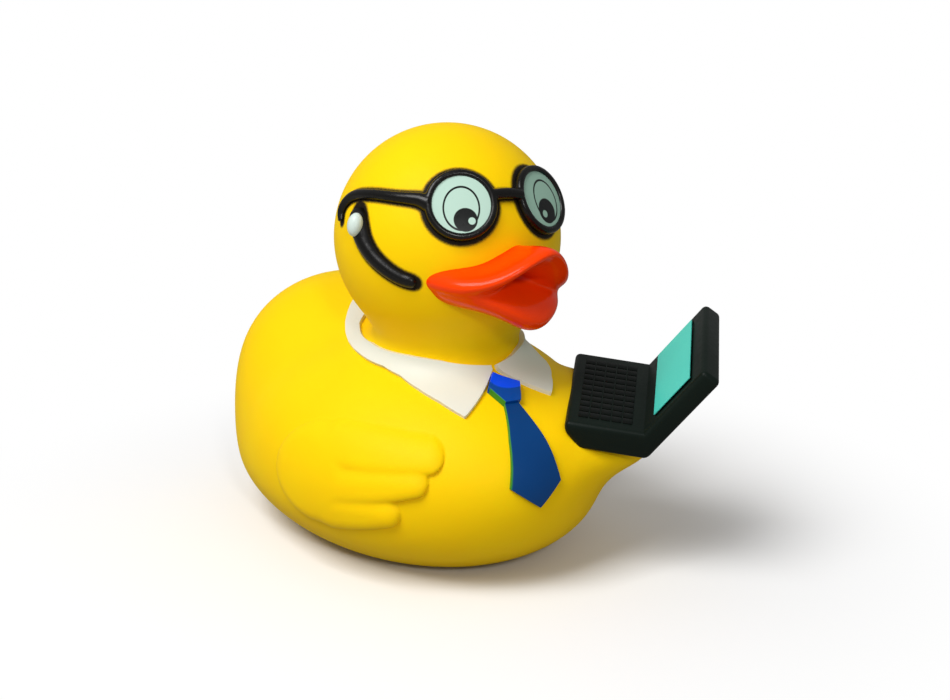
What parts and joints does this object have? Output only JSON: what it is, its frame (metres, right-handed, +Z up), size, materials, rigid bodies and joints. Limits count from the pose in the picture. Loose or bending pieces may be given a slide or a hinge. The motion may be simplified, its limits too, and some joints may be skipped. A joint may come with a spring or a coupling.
{
  "type": "rubber duck",
  "caption": "Hollow vinyl bath duck with round glasses, headset, shirt collar and tie, holding a small open laptop, with a squeaker in its flat base.",
  "frame": {"origin": "On the flat base that the duck stands on, straight below the centre of its head.", "axes": "+Z is up, the duck faces -Y, and its left side is +X."},
  "size_m": [0.0767, 0.1113, 0.084],
  "materials": {
    "yellow_vinyl": "satin soft vinyl, sprayed with colour on its raised forms",
    "squeaker_plastic": "moulded, slightly glossy",
    "reed_film": "thin smooth film"
  },
  "bodies": {
    "root": {"duck_body": "yellow_vinyl", "squeaker_housing": "squeaker_plastic", "squeaker_reed_seat": "squeaker_plastic", "squeaker_reed": "reed_film"}
  },
  "joints": []
}
